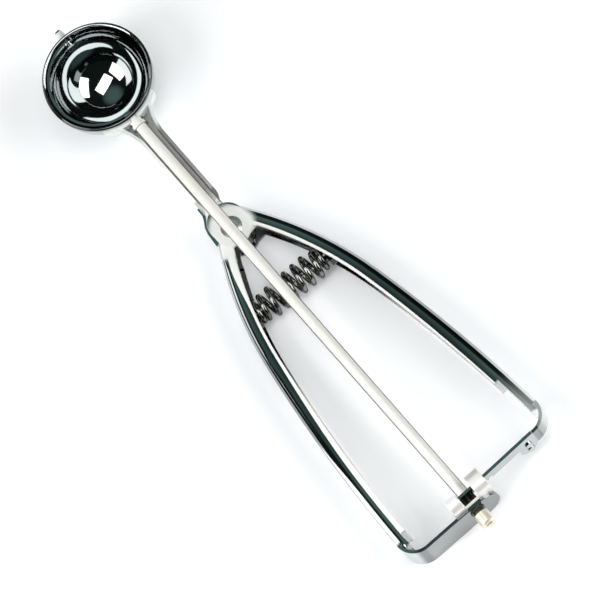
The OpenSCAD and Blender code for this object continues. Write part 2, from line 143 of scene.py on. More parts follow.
def vector_math(tree, operation, first, second=(0.0, 0.0, 0.0)):
    node = add(tree, "ShaderNodeVectorMath", operation=operation)
    feed(tree, first, node.inputs[0])
    feed(tree, second, node.inputs[1])
    return node.outputs["Value" if operation in GIVES_NUMBER else "Vector"]


def scaled(tree, colour, factor):
    """A colour made darker or lighter by a factor."""
    node = add(tree, "ShaderNodeVectorMath", operation="SCALE")
    feed(tree, colour, node.inputs[0])
    feed(tree, factor, node.inputs["Scale"])
    return node.outputs["Vector"]


def ramp(tree, value, between, levels=RISE):
    """A smooth step: the first level up to the first place, the second from the second on."""
    sockets = {"Value": value, "From Min": between[0], "From Max": between[1],
               "To Min": levels[0], "To Max": levels[1]}
    return plug(tree, "ShaderNodeMapRange", sockets,
                interpolation_type="SMOOTHSTEP").outputs["Result"]


def mixed(tree, factor, start, end, kind="RGBA"):
    """Two colours, or two numbers with the kind FLOAT, mixed by a factor."""
    node = add(tree, "ShaderNodeMix", data_type=kind)
    first, second, out = MIX_SOCKETS[kind]
    feed(tree, factor, node.inputs["Factor"])
    feed(tree, start, node.inputs[first])
    feed(tree, end, node.inputs[second])
    return node.outputs[out]


def axes(tree, vector):
    """The X, Y and Z of a vector."""
    return plug(tree, "ShaderNodeSeparateXYZ", {"Vector": vector}).outputs


print("a ramp goes from", RISE[0], "to", RISE[1], "unless it is told otherwise")

# %% [markdown]
# ## Wear
# A kitchen tool isn't evenly polished. Its shine changes from spot to spot, and wiping leaves
# fine scratches. An image could show this, but would blur up close, so a node group works it
# out from noise: a machine with named sockets, built once and used by every metal with its own
# strength. It reads Object coordinates, so that the pattern stays on the metal.

# %% wear group
NUMBER = "NodeSocketFloat"
VECTOR = "NodeSocketVector"
COLOUR = "NodeSocketColor"
NOISE_MIDDLE = 0.5
SMOOTHEST = 0.02
# The scratches are four times as long in X as they are wide, because the tool lies along X.
SCRATCH_STRETCH = (0.25, 1.0, 1.0)
SCRATCH_SCALE = 2600.0
SCRATCH_DEPTH = 0.02 * MM


def new_group(name, inputs, outputs):
    """An empty shader group with named sockets, and the nodes at its two ends."""
    group = bpy.data.node_groups.new(name, "ShaderNodeTree")
    for way, sockets in (("INPUT", inputs), ("OUTPUT", outputs)):
        for label, kind in sockets.items():
            group.interface.new_socket(label, in_out=way, socket_type=kind)
    return group, add(group, "NodeGroupInput").outputs, add(group, "NodeGroupOutput").inputs


def make_wear():
    group, given, result = new_group(
        "metal_wear",
        {"Vector": VECTOR, "Roughness": NUMBER, "Spread": NUMBER, "Scale": NUMBER,
         "Scratch": NUMBER},
        {"Roughness": NUMBER, "Normal": VECTOR})
    clouds = plug(group, "ShaderNodeTexNoise", {
        "Vector": given["Vector"], "Scale": given["Scale"], "Detail": 4.0, "Roughness": 0.6})
    centred = calculate(group, "SUBTRACT", clouds.outputs["Fac"], NOISE_MIDDLE)
    drift = product(group, centred, given["Spread"])
    rough = calculate(group, "ADD", drift, given["Roughness"])
    feed(group, highest(group, rough, SMOOTHEST), result["Roughness"])
    stretched = vector_math(group, "MULTIPLY", given["Vector"], SCRATCH_STRETCH)
    hair = plug(group, "ShaderNodeTexNoise", {
        "Vector": stretched, "Scale": SCRATCH_SCALE, "Detail": 3.0})
    bump = plug(group, "ShaderNodeBump", {
        "Strength": given["Scratch"], "Distance": SCRATCH_DEPTH, "Height": hair.outputs["Fac"]})
    feed(group, bump.outputs["Normal"], result["Normal"])
    return group


wear_group = make_wear()
print("group", wear_group.name, "with", len(wear_group.nodes), "nodes")

# %% [markdown]
# ## Tone
# Plating and bare steel drift a little in colour. One flat colour would look like plastic, so a
# second group lets two close tones run into each other in large soft clouds.

# %% tone group
TONE_LOW = 0.35
TONE_HIGH = 0.7


def make_tone():
    group, given, result = new_group(
        "tone_drift", {"Vector": VECTOR, "Light": COLOUR, "Dark": COLOUR, "Scale": NUMBER},
        {"Color": COLOUR})
    clouds = plug(group, "ShaderNodeTexNoise", {
        "Vector": given["Vector"], "Scale": given["Scale"], "Detail": 5.0})
    steps = plug(group, "ShaderNodeMapRange", {
        "Value": clouds.outputs["Fac"], "From Min": TONE_LOW, "From Max": TONE_HIGH})
    tone = mixed(group, steps.outputs["Result"], given["Light"], given["Dark"])
    feed(group, tone, result["Color"])
    return group


tone_group = make_tone()
print("group", tone_group.name, "with", len(tone_group.nodes), "nodes")

# %% [markdown]
# ## Where a point lies on a handle
# Each handle is bent from a channel along two arcs that join smoothly. Its bands of painted
# highlight and painted shade run along those arcs, so the masks need a point's depth, in from
# the curved back, and its reach, out from the rivet. A third group measures both from the arcs'
# centres. Plain X and Y would give straight bands that cut across the bend.

# %% handle curves
# Millimetres, and the degrees that the near arc turns through.
NEAR_RADIUS = 134
FAR_RADIUS = 546
NEAR_TURN = 19.1


def make_flange():
    """Depth below a handle's curved back and reach from the rivet, both in millimetres."""
    group, given, result = new_group(
        "flange_place",
        {"Vector": VECTOR, "Near centre": VECTOR, "Far centre": VECTOR, "Join": NUMBER},
        {"Depth": NUMBER, "Reach": NUMBER})
    flat = vector_math(group, "MULTIPLY", given["Vector"], (1.0, 1.0, 0.0))
    depths = []
    for label, radius in (("Near centre", NEAR_RADIUS), ("Far centre", FAR_RADIUS)):
        away = vector_math(group, "DISTANCE", flat, given[label])
        depths.append(calculate(group, "SUBTRACT", radius * MM, away))
    beyond = calculate(group, "GREATER_THAN", axes(group, flat)["X"], given["Join"])
    depth = mixed(group, beyond, depths[0], depths[1], "FLOAT")
    reach = vector_math(group, "DISTANCE", flat, PIVOT)
    for value, label in ((depth, "Depth"), (reach, "Reach")):
        feed(group, product(group, value, 1 / MM), result[label])
    return group


def curve_centres(off, heading, side):
    """Centres of a handle's two arcs, and the X where they join, for a handle whose back
    starts off millimetres from the rivet, heading out at that angle, on one side in Y."""
    near = math.radians(heading)
    far = math.radians(heading - NEAR_TURN)
    first = Vector((NEAR_RADIUS * math.sin(near),
                    side * (off - NEAR_RADIUS * math.cos(near)), 0)) * MM
    step = (FAR_RADIUS - NEAR_RADIUS) * MM
    second = first + step * Vector((math.sin(far), -side * math.cos(far), 0))
    join = first.x - NEAR_RADIUS * MM * math.sin(far)
    return PIVOT + first, PIVOT + second, PIVOT.x + join


flange_group = make_flange()
right_curve = curve_centres(off=9.2, heading=30.8, side=1)
left_curve = curve_centres(off=6.8, heading=27.6, side=-1)
print("right arcs join at x", round(right_curve[2], 4), "left ones at", round(left_curve[2], 4))

# %% [markdown]
# ## The metal recipe
# All the parts are metal, so one recipe serves them: two close tones, a base roughness, how far
# it wanders, how deep the scratches are, and how metallic the surface is. Masks paint shade into
# the metal, or paint highlights and light by turning it into pale, duller steel. An edge value
# paints shade where the surface turns away from the eye, which gives a round rod or wire painted
# dark outlines. Separate networks would be freer, but then the metals would no longer look like
# parts of one tool.

# %% metal recipe
# PALE, with its roughness and metallic, is the pale dull steel in which the masks paint
# highlights and light.
PALE = (0.96, 0.96, 0.93, 1)
PALE_ROUGHNESS = 0.45
PALE_METALLIC = 0.2
TONE_SCALE = 60.0
WEAR_SCALE = 300.0
TURNED_AWAY = (0.42, 0.6)


def new_material(name):
    """An empty material: its network, its output socket and its Object coordinates."""
    material = bpy.data.materials.new(name)
    material.use_nodes = True
    tree = material.node_tree
    tree.nodes.clear()
    surface = add(tree, "ShaderNodeOutputMaterial").inputs["Surface"]
    return material, tree, surface, add(tree, "ShaderNodeTexCoord").outputs["Object"]


def metal(name, light, dark, rough, spread, scratch, metallic=1.0, masks=None, edge=None):
    material, tree, surface, where = new_material(name)
    tone = plug(tree, "ShaderNodeGroup", {
        "Vector": where, "Light": (*light, 1), "Dark": (*dark, 1), "Scale": TONE_SCALE},
        node_tree=tone_group)
    wear = plug(tree, "ShaderNodeGroup", {
        "Vector": where, "Roughness": rough, "Spread": spread, "Scale": WEAR_SCALE,
        "Scratch": scratch}, node_tree=wear_group)
    colour = tone.outputs["Color"]
    roughness = wear.outputs["Roughness"]
    if masks:
        # pale paints highlights and light, and shade paints shade.
        pale, shade = masks(tree, where)
        colour = scaled(tree, colour, shade)
        if pale is not None:
            colour = mixed(tree, pale, colour, PALE)
            roughness = mixed(tree, pale, roughness, PALE_ROUGHNESS, "FLOAT")
            metallic = mixed(tree, pale, metallic, PALE_METALLIC, "FLOAT")
    # The edge value paints shade on the sides that turn away from the eye.
    if edge is not None:
        facing = plug(tree, "ShaderNodeLayerWeight", {"Blend": 0.5}).outputs["Facing"]
        colour = scaled(tree, colour, ramp(tree, facing, TURNED_AWAY, (1, edge)))
    shader = plug(tree, "ShaderNodeBsdfPrincipled", {
        "Base Color": colour, "Roughness": roughness, "Metallic": metallic,
        "Normal": wear.outputs["Normal"]})
    feed(tree, shader.outputs["BSDF"], surface)
    return material


print("pale steel", PALE[:3], "roughness", PALE_ROUGHNESS)

# %% [markdown]
# ## Bands on the handles
# The handles are pressed from plated sheet. Their flanges are a mirror in the middle, with a
# pale inner edge along the handle and a pale spot round the rivet. Reflections alone could draw
# these bands, but only in one very particular room, so part of them is painted into the metal as
# painted highlights and painted shade. A band is a step in height, depth or reach, and a pair of
# numbers says where it turns on or off.

# %% places on a handle
# Heights and X are in metres, depths and reaches in millimetres.
TOP_FACE = (8.0 * MM, 8.5 * MM)
LOWER_FACE = (2.0 * MM, 2.5 * MM)
FLANGE_END = (5.2, 5.8)
CORNER = (118, 119.5)
EAR_FADE = 3
PLATE_SWELL = (PIVOT.x - 10 * MM, PIVOT.x - 4.5 * MM)
PLATE_HALF_WIDTHS = (4.5, 7.0)
PLATE_TO_ARC = (PIVOT.x - 2 * MM, PIVOT.x + 2 * MM)


def plate_depth(tree, x, y, depth):
    """Depth from the outline of the fixed handle, whose plate swells round the rivet."""
    half_width = ramp(tree, x, PLATE_SWELL, PLATE_HALF_WIDTHS)
    away = product(tree, calculate(tree, "SUBTRACT", PIVOT.y, y), 1 / MM)
    inside = calculate(tree, "SUBTRACT", half_width, away)
    return mixed(tree, ramp(tree, x, PLATE_TO_ARC), inside, depth, "FLOAT")


def places_on_handle(tree, where, curve, ear, fixed):
    """The measures and simple masks that all the bands of one handle share."""
    near_centre, far_centre, join = curve
    flange = plug(tree, "ShaderNodeGroup", {
        "Vector": where, "Near centre": near_centre, "Far centre": far_centre, "Join": join},
        node_tree=flange_group)
    depth = flange.outputs["Depth"]
    reach = flange.outputs["Reach"]
    axis = axes(tree, where)
    return {
        "depth": depth, "reach": reach,
        "rim": plate_depth(tree, axis["X"], axis["Y"], depth) if fixed else depth,
        "top": ramp(tree, axis["Z"], TOP_FACE),
        "lower": ramp(tree, axis["Z"], LOWER_FACE, FALL),
        "on_flange": ramp(tree, depth, FLANGE_END, FALL),
        "before_corner": ramp(tree, reach, CORNER, FALL),
        "round_rivet": ramp(tree, reach, (ear, ear + EAR_FADE), FALL)}


print("the flanges turn in at reach", CORNER[0], "mm")

# %% [markdown]
# ## Pale bands of painted highlight
# These are painted highlights: the inner edge of a flange is made duller and paler than its
# middle, and so are the plate round the rivet and the moving handle's far end. On the fixed
# handle a thin pale stripe of painted highlight also runs along the back. One long formula could
# hold all of this, but it could hardly be changed, so each band has its own short function and
# the pale mask is the highest of them.

# %% pale bands
# The inner band: its depth in the middle of a handle, and the reaches between which its start
# settles to that depth, moves on from it, and appears on the lower flange.
BAND_MIDDLE = 4.1
BAND_SOFTNESS = 0.2
BAND_SETTLES = (12, 30)
BAND_NARROWS = (40, 95)
LOWER_BAND = (40, 65)
SPOT_EDGE = (0.8, 1.0)
# The stripe: how deep it goes where there is none and by the rivet, the reaches where these
# change, how softly it ends, and the depth and reach where it starts.
STRIPE_NONE = -0.4
STRIPE_NEAR = 0.7
STRIPE_NEAR_END = (14, 24)
STRIPE_GROWS = (58, 100)
STRIPE_SOFTNESS = (-0.3, 0.0)
STRIPE_BACK = (0.25, 0.45)
STRIPE_STARTS = (10, 13)
FAR_END = (100, 116)


def inner_band(tree, at, near_start, far_start):
    """Painted highlight on the flanges' inner edge, starting at a depth that changes with the
    reach.
    """
    start = ramp(tree, at["reach"], BAND_SETTLES, (near_start, BAND_MIDDLE))
    change = ramp(tree, at["reach"], BAND_NARROWS, (0, far_start - BAND_MIDDLE))
    start = calculate(tree, "ADD", start, change)
    band = ramp(tree, at["rim"], (start, calculate(tree, "ADD", start, BAND_SOFTNESS)))
    upper = product(tree, band, at["top"])
    lower = product(tree, ramp(tree, at["reach"], LOWER_BAND), at["lower"])
    metal_here = highest(tree, at["on_flange"], at["round_rivet"])
    return product(tree, highest(tree, upper, lower), at["before_corner"], metal_here)


# Painted highlight on the plate round the rivet.
def rivet_spot(tree, at):
    return product(tree, at["round_rivet"], ramp(tree, at["rim"], SPOT_EDGE), at["top"])


def back_stripe(tree, at, width):
    """A painted highlight stripe along the curved back, wide by the rivet and again towards the
    end.
    """
    near = ramp(tree, at["reach"], STRIPE_NEAR_END, (STRIPE_NEAR, STRIPE_NONE))
    far = ramp(tree, at["reach"], STRIPE_GROWS, (STRIPE_NONE, width))
    past = calculate(tree, "SUBTRACT", at["depth"], highest(tree, far, near))
    return product(tree, ramp(tree, past, STRIPE_SOFTNESS, FALL),
                   ramp(tree, at["depth"], STRIPE_BACK),
                   ramp(tree, at["reach"], STRIPE_STARTS), at["before_corner"], at["top"])


# Painted highlight at the moving handle's far end.
def far_end(tree, at, strength):
    return product(tree, ramp(tree, at["reach"], FAR_END, (0, strength)), at["on_flange"])


print("the inner band starts", BAND_MIDDLE, "mm deep in the middle of a handle")

# %% [markdown]
# ## Painted shade on the handles
# This is painted shade: a flange is made brightest by its back and darker inwards, and the grips
# darker in the middle of their length. Dimmer lamps would darken the whole tool, so the metal's
# colour carries the painted shade there instead, and its reflections fade with it.

# %% dark bands
# Depths and reaches in millimetres, each with the levels that it goes between.
INWARD = (2.4, 4.4)
INWARD_SHADE = (1.15, 0.4)
PAST_FLANGE = (5.5, 7.0)
PAST_SHADE = (0, 0.2)
GRIP_START = (15, 55)
GRIP_DARK = (0.1, 0.5)
GRIP_END = (80, 108)


# Painted shade: brightest by the back, darker inwards and in the middle of the grip.
def flange_shade(tree, at):
    inward = ramp(tree, at["depth"], INWARD, INWARD_SHADE)
    past = ramp(tree, at["depth"], PAST_FLANGE, PAST_SHADE)
    grip = calculate(tree, "SUBTRACT", ramp(tree, at["reach"], GRIP_START, GRIP_DARK),
                     ramp(tree, at["reach"], GRIP_END, (0, GRIP_DARK[1])))
    return product(tree, calculate(tree, "ADD", inward, past),
                   calculate(tree, "SUBTRACT", 1.0, grip))


# Each handle's pale mask is painted highlight, and its shade is painted shade.
def right_masks(tree, where):
    at = places_on_handle(tree, where, right_curve, ear=6.0, fixed=False)
    pale = highest(tree, inner_band(tree, at, near_start=4.0, far_start=4.5),
                   rivet_spot(tree, at), far_end(tree, at, strength=0.35))
    return pale, flange_shade(tree, at)


def left_masks(tree, where):
    at = places_on_handle(tree, where, left_curve, ear=9.0, fixed=True)
    pale = highest(tree, inner_band(tree, at, near_start=2.6, far_start=3.2),
                   rivet_spot(tree, at), back_stripe(tree, at, width=1.7))
    return pale, flange_shade(tree, at)


print("the grips are darkest from", GRIP_START[1], "to", GRIP_END[0], "mm from the rivet")

# %% [markdown]
# ## Plated sheet
# Handles, rack and rack rivets are steel with a thin bright plating: almost a mirror, with
# hardly any scratches. The plating could be a coat over a darker metal, but it hides the steel
# fully, so a plain metal does, with a base colour that keeps its reflections cool and grey.

# %% plated finishes
PLATE_LIGHT = (0.55, 0.58, 0.58)
PLATE_DARK = (0.48, 0.52, 0.52)


def plated(name, masks=None):
    return metal(name, PLATE_LIGHT, PLATE_DARK, rough=0.07, spread=0.04, scratch=0.04,
                 masks=masks)


bright = plated("bright_steel")
right_steel = plated("right_handle_steel", right_masks)
left_steel = plated("left_handle_steel", left_masks)
print("plated", bright.name, right_steel.name, left_steel.name)

# %% [markdown]
# ## The bowl
# Bowl and blade are polished, so they are the sharpest mirrors here. The outer side of the
# bowl's rolled rim gets painted shade, which stands in for a dark reflection. The bead could be
# a piece of its own with a darker metal, but it is one sheet with the bowl, so a mask finds it
# by its distance from the bowl's axis.

# %% bowl finish
MIRROR_LIGHT = (0.46, 0.48, 0.48)
MIRROR_DARK = (0.42, 0.45, 0.45)
# Where the painted shade on the bead starts, how dark it is, and the height below which it
# stops.
BEAD_OUTSIDE = (17.0 * MM, 17.2 * MM)
BEAD_SHADE = (1, 0.12)
BELOW_BEAD = (1.8 * MM, 2.0 * MM)


def bowl_masks(tree, where):
    """Painted shade on the outer side of the rolled rim, and none on the wall below it."""
    out = vector_math(tree, "SUBTRACT", where, BOWL)
    radius = vector_math(tree, "LENGTH", vector_math(tree, "CROSS_PRODUCT", out, (0, 0, 1)))
    bead = ramp(tree, radius, BEAD_OUTSIDE, BEAD_SHADE)
    wall = ramp(tree, axes(tree, out)["Z"], BELOW_BEAD, FALL)
    return None, highest(tree, bead, wall)


def polished(name, masks=None):
    return metal(name, MIRROR_LIGHT, MIRROR_DARK, rough=0.05, spread=0.03, scratch=0.03,
                 masks=masks)


bowl_steel = polished("bowl_steel", bowl_masks)
blade_steel = polished("mirror_steel")
print("polished", bowl_steel.name, blade_steel.name)

# %% [markdown]
# ## The neck
# The neck is a trough with a soft finish, as from tumbling, and much paler than the plating.
# Inside it gets painted light, a pale dull steel where the rod's shadow falls, and its lip on
# the moving handle's side gets painted shade. The lip has no edge of its own that a second
# material could stop at, so it is again a mask, measured from the bowl.

# %% neck finish
SOFT_LIGHT = (0.88, 0.91, 0.89)
SOFT_DARK = (0.82, 0.86, 0.84)
TROUGH_START = (22 * MM, 27 * MM)
TROUGH_SIDE = (2.95 * MM, 3.15 * MM)
# Levels of the painted shade on the lip and of the painted light inside the trough.
LIP_SHADE = (1, 0.3)
TROUGH_LIGHT = (0.9, 0)


def neck_masks(tree, where):
    """Painted light inside the trough, and painted shade on its lip on the moving handle's side.
    """
    axis = axes(tree, vector_math(tree, "SUBTRACT", where, BOWL))
    along = ramp(tree, axis["X"], TROUGH_START)
    lip = product(tree, ramp(tree, axis["Y"], TROUGH_SIDE), along)
    aside = calculate(tree, "ABSOLUTE", axis["Y"])
    trough_light = product(tree, ramp(tree, aside, TROUGH_SIDE, TROUGH_LIGHT), along)
    return trough_light, ramp(tree, lip, RISE, LIP_SHADE)


def tumbled(name, masks=None):
    return metal(name, SOFT_LIGHT, SOFT_DARK, rough=0.34, spread=0.1, scratch=0.08,
                 metallic=0.4, masks=masks)


soft = tumbled("soft_steel")
neck_steel = tumbled("neck_steel", neck_masks)
print("tumbled", soft.name, neck_steel.name)

# %% [markdown]
# ## Rod, rivet and guide
# The rack guide is bare satin steel, warm and nearly white, and the rivet is a little brighter.
# The long rod has much the same satin, but it is round and thin, and its dark sides are painted
# shade from every side. A rougher metal doesn't show that, and the edge value of the recipe
# paints it.

# %% satin finishes
satin = metal("satin_steel", light=(0.95, 0.94, 0.90), dark=(0.91, 0.89, 0.83),
              rough=0.42, spread=0.08, scratch=0.12, metallic=0.55)
# edge paints shade on the rod's sides.
rod_steel = metal("rod_steel", light=(0.96, 0.945, 0.89), dark=(0.92, 0.90, 0.83),
                  rough=0.42, spread=0.08, scratch=0.12, metallic=0.35, edge=0.2)
rivet_steel = metal("rivet_steel", light=(0.66, 0.70, 0.68), dark=(0.58, 0.62, 0.60),
                    rough=0.22, spread=0.08, scratch=0.06, metallic=0.75)
print("satin", satin.name, rod_steel.name, rivet_steel.name)

# %% [markdown]
# ## Spring wire
# Drawn spring wire is dark and glossy, with short bright glints on the crests of the turns. Its
# nearly black sides are painted shade: the edge value darkens them, which also hides the table's
# reflection there. A black paint would have no metal glints, so it is a dark metal. The cups
# that hold its ends are dark too, and duller.

# %% wire finishes
# edge paints shade on the wire's sides.
wire = metal("spring_steel", light=(0.36, 0.35, 0.32), dark=(0.12, 0.13, 0.12),
             rough=0.06, spread=0.05, scratch=0.06, edge=0.04)
seat_steel = metal("seat_steel", light=(0.16, 0.17, 0.17), dark=(0.08, 0.09, 0.09),
                   rough=0.2, spread=0.06, scratch=0.1)
print("wire", wire.name, "and cups", seat_steel.name)

# %% [markdown]
# ## Brass
# The pinion is the one part that isn't steel: pale, worn brass. The knob outside the crossbar is
# left bright, and the neck and the teeth behind it get painted shade, where the crossbar shades
# them. Pinion and knob are one turned piece, so one material covers both, and a mask along X
# parts them.

# %% brass finish
KNOB = place(190, 0, 0).x
KNOB_FADE = 0.6 * MM
BEHIND_KNOB_SHADE = (0.05, 1.0)


def pinion_masks(tree, where):
    """Painted shade up to the knob, and none from there on."""
    x = axes(tree, where)["X"]
    return None, ramp(tree, x, (KNOB - KNOB_FADE, KNOB), BEHIND_KNOB_SHADE)


brass = metal("pale_brass", light=(0.95, 0.91, 0.77), dark=(0.84, 0.75, 0.52),
              rough=0.34, spread=0.1, scratch=0.15, metallic=0.6, masks=pinion_masks)
print("brass", brass.name)

# %% [markdown]
# ## Give each part its finish
# A part keeps its materials in a list on its mesh. Each list is emptied and gets one finish, so
# that nothing is left of the plain colours that the parts came with.

# %% finishes
finish = {
    "bowl": bowl_steel, "neck": neck_steel, "blade": blade_steel, "far_boss": soft,
    "far_pin": bright, "shaft": rod_steel, "pinion": brass, "left_handle": left_steel,
    "right_handle": right_steel, "rack": bright, "rack_rivets": bright, "rack_guide": satin,
    "pivot_rivet": rivet_steel, "pivot_spacer": satin, "spring": wire,
    "left_spring_seat": seat_steel, "right_spring_seat": seat_steel,
}
for name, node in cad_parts.items():
    node.data.materials.clear()
    node.data.materials.append(finish[name])
print("finishes", len(set(finish.values())))

# %% [markdown]
# ## Soften the pressed edges
# Sheet metal has no razor edges: each one is a little round and catches a thin line of light.
# The parts' meshes can't be edited, but modifiers can work on them. Weld joins the corners that
# the file keeps apart, and Bevel cuts a narrow face along each sharp edge.
#
# Smooth shading would then smear the light over flat faces next to the cut. A small geometry
# node group ends that: it measures the angle at every edge and makes the steep ones sharp again.

# %% crease group
CREASE = math.radians(22)


def make_creases():
    group = bpy.data.node_groups.new("creases", "GeometryNodeTree")
    for way in ("INPUT", "OUTPUT"):
        group.interface.new_socket("Geometry", in_out=way, socket_type="NodeSocketGeometry")
    shape = add(group, "NodeGroupInput").outputs["Geometry"]
    bend = add(group, "GeometryNodeInputMeshEdgeAngle").outputs["Unsigned Angle"]
    steep = plug(group, "FunctionNodeCompare", {"A": bend, "B": CREASE}, data_type="FLOAT",
                 operation="GREATER_THAN")
    sharp = plug(group, "GeometryNodeSetShadeSmooth", {
        "Geometry": shape, "Selection": steep.outputs["Result"], "Shade Smooth": False},
        domain="EDGE")
    end = add(group, "NodeGroupOutput")
    feed(group, sharp.outputs["Geometry"], end.inputs["Geometry"])
    return group


creases = make_creases()
print("edges steeper than", round(math.degrees(CREASE)), "degrees are sharp")

# %% soft edges
SAME_POINT = 0.002 * MM
BEVEL_ANGLE = math.radians(40)
EDGE_WIDTHS = {"left_handle": 0.12, "right_handle": 0.12, "rack": 0.12, "rack_guide": 0.25,
               "neck": 0.35, "blade": 0.12}


def soften(part, width):
    weld = part.modifiers.new("weld", "WELD")
    weld.merge_threshold = SAME_POINT
    bevel = part.modifiers.new("edge", "BEVEL")
    bevel.width = width
    bevel.segments = 1
    bevel.limit_method = "ANGLE"
    bevel.angle_limit = BEVEL_ANGLE
    bevel.use_clamp_overlap = True
    for polygon in part.data.polygons:
        polygon.use_smooth = True
    part.modifiers.new("creases", "NODES").node_group = creases


for name, width in EDGE_WIDTHS.items():
    soften(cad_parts[name], width * MM)
print("softened", len(EDGE_WIDTHS), "parts")

# %% [markdown]
# ## The spring's path
# The handles are held open by a coil with a wide middle and narrow, closed end turns, which sit
# in two cups. The engineering spring is a coarse one. A finer coil could come from a curve with
# a round section, but a formula for the path lets the radius and the pitch change along the
# wire, so the turns are worked out from the wire's thickness and the space between the cups.

# %% spring path
# Turns, and sizes and places in millimetres.
TURNS = 8.5
END_TURNS = 1.0
WIRE_R = 0.85
COIL_R = 4.25
END_R = 3.35
WIDENING = 0.6
LEFT_CUP_Y = -11.6
BETWEEN_CUPS = 28
CUP_GAP = 0.02
SPRING_X = 89.5
SPRING_Z = 5.4
START_Y = LEFT_CUP_Y + WIRE_R + CUP_GAP
LENGTH = BETWEEN_CUPS - 2 * WIRE_R - 2 * CUP_GAP
CLOSED_PITCH = 2.1 * WIRE_R
OPEN_PITCH = (LENGTH - 2 * END_TURNS * CLOSED_PITCH) / (TURNS - 2 * END_TURNS)


def coil_radius(turn):
    """Narrow in the end turns, and a smooth step to the full radius next to them."""
    from_end = min(turn, TURNS - turn)
    s = min(1, max(0, (from_end - END_TURNS) / WIDENING))
    return END_R + (COIL_R - END_R) * s * s * (3 - 2 * s)


def coil_rise(turn):
    """How far the wire has climbed along Y: slowly in the closed turns, evenly between."""
    if turn < END_TURNS:
        return CLOSED_PITCH * turn
    if turn > TURNS - END_TURNS:
        return LENGTH - CLOSED_PITCH * (TURNS - turn)
    return CLOSED_PITCH * END_TURNS + OPEN_PITCH * (turn - END_TURNS)


def coil_point(turn):
    angle = 2 * math.pi * turn
    radius = coil_radius(turn)
    return place(SPRING_X + radius * math.cos(angle), START_Y + coil_rise(turn),
                 SPRING_Z + radius * math.sin(angle))


print("open turns rise", round(OPEN_PITCH, 2), "mm, closed ones", round(CLOSED_PITCH, 2))

# %% [markdown]
# ## Winding the wire
# A ring of points stands across the path at each step, and bridge_loops joins each ring to the
# next. Spinning a circle is quicker for an even helix, but can't narrow it at the ends. The two
# flat ends of the wire are closed by one face each.

# %% spring mesh
STEPS_PER_TURN = 40
SIDES = 16
LOOK_AHEAD = 0.01


def finish_mesh(work, name, material, smooth=True):
    """Turn a bmesh into an object with outward faces and one material."""
    mesh = bpy.data.meshes.new(name)
    bmesh.ops.recalc_face_normals(work, faces=work.faces)
    work.to_mesh(mesh)
    work.free()
    piece = bpy.data.objects.new(name, mesh)
    bpy.context.scene.collection.objects.link(piece)
    mesh.materials.append(material)
    for polygon in mesh.polygons:
        polygon.use_smooth = smooth
    return piece


def wire_ring(work, turn):
    """A ring of points round the wire, square to its path."""
    here = coil_point(turn)
    after = coil_point(min(turn + LOOK_AHEAD, TURNS))
    before = coil_point(max(turn - LOOK_AHEAD, 0))
    along = (after - before).normalized()
    out = here - place(SPRING_X, 0, SPRING_Z)
    out.y = 0
    out.normalize()
    side = along.cross(out).normalized()
    out = side.cross(along).normalized()
    angles = [2 * math.pi * j / SIDES for j in range(SIDES)]
    return [work.verts.new(here + WIRE_R * MM * (math.cos(a) * out + math.sin(a) * side))
            for a in angles]


def make_spring():
    work = bmesh.new()
    rings = [wire_ring(work, k / STEPS_PER_TURN)
             for k in range(int(TURNS * STEPS_PER_TURN) + 1)]
    loops = [[work.edges.new((ring[j], ring[(j + 1) % SIDES])) for j in range(SIDES)]
             for ring in rings]
    for low, high in zip(loops, loops[1:]):
        bmesh.ops.bridge_loops(work, edges=low + high)
    for ring in (rings[0], rings[-1]):
        work.faces.new(ring)
    return finish_mesh(work, "coil_spring", wire)


spring = make_spring()
print("spring faces", len(spring.data.polygons))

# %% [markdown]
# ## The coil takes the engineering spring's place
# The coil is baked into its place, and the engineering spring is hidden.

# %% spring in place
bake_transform(spring)
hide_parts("spring")

# %% [markdown]
# ## Table
# The scoop lies on a wide white sheet. A sheet that the lamps alone make white would need so
# much light that the metal burns out. It is lit to a pale grey instead, and glows a little where
# the camera or a polished surface looks at it, so that it reads as white and keeps the shadow.

# %% table
TABLE_HALF = 3
TABLE_GLOW = 0.16
PAPER_LIGHT = (0.90, 0.91, 0.93, 1)
PAPER_DARK = (0.89, 0.90, 0.92, 1)
PAPER_SCALE = 3.0


def make_table():
    work = bmesh.new()
    bmesh.ops.create_grid(work, x_segments=1, y_segments=1, size=TABLE_HALF)
    material, tree, surface, where = new_material("table_white")
    tone = plug(tree, "ShaderNodeGroup", {
        "Vector": where, "Light": PAPER_LIGHT, "Dark": PAPER_DARK, "Scale": PAPER_SCALE},
        node_tree=tone_group)
    paper = plug(tree, "ShaderNodeBsdfDiffuse", {"Color": tone.outputs["Color"]})
    path = add(tree, "ShaderNodeLightPath").outputs
    seen = highest(tree, path["Is Camera Ray"], path["Is Glossy Ray"])
    glow = plug(tree, "ShaderNodeEmission", {
        "Color": (1, 1, 1, 1), "Strength": product(tree, seen, TABLE_GLOW)})
    both = add(tree, "ShaderNodeAddShader")
    feed(tree, paper.outputs[0], both.inputs[0])
    feed(tree, glow.outputs[0], both.inputs[1])
    feed(tree, both.outputs[0], surface)
    return finish_mesh(work, "table_top", material, False)


floor = make_table()
print("table", floor.name, "is", 2 * TABLE_HALF, "m wide")

# %% [markdown]
# ## Surroundings
# Polished steel shows what stands round it. The room is nearly black, with one dim grey-green
# patch where the flat tops of the handles look, and mirrors see white only low over the table,
# where its far edge would be. The camera itself sees plain white. A studio picture on the world
# would do the same, but these few steps can be read and changed.

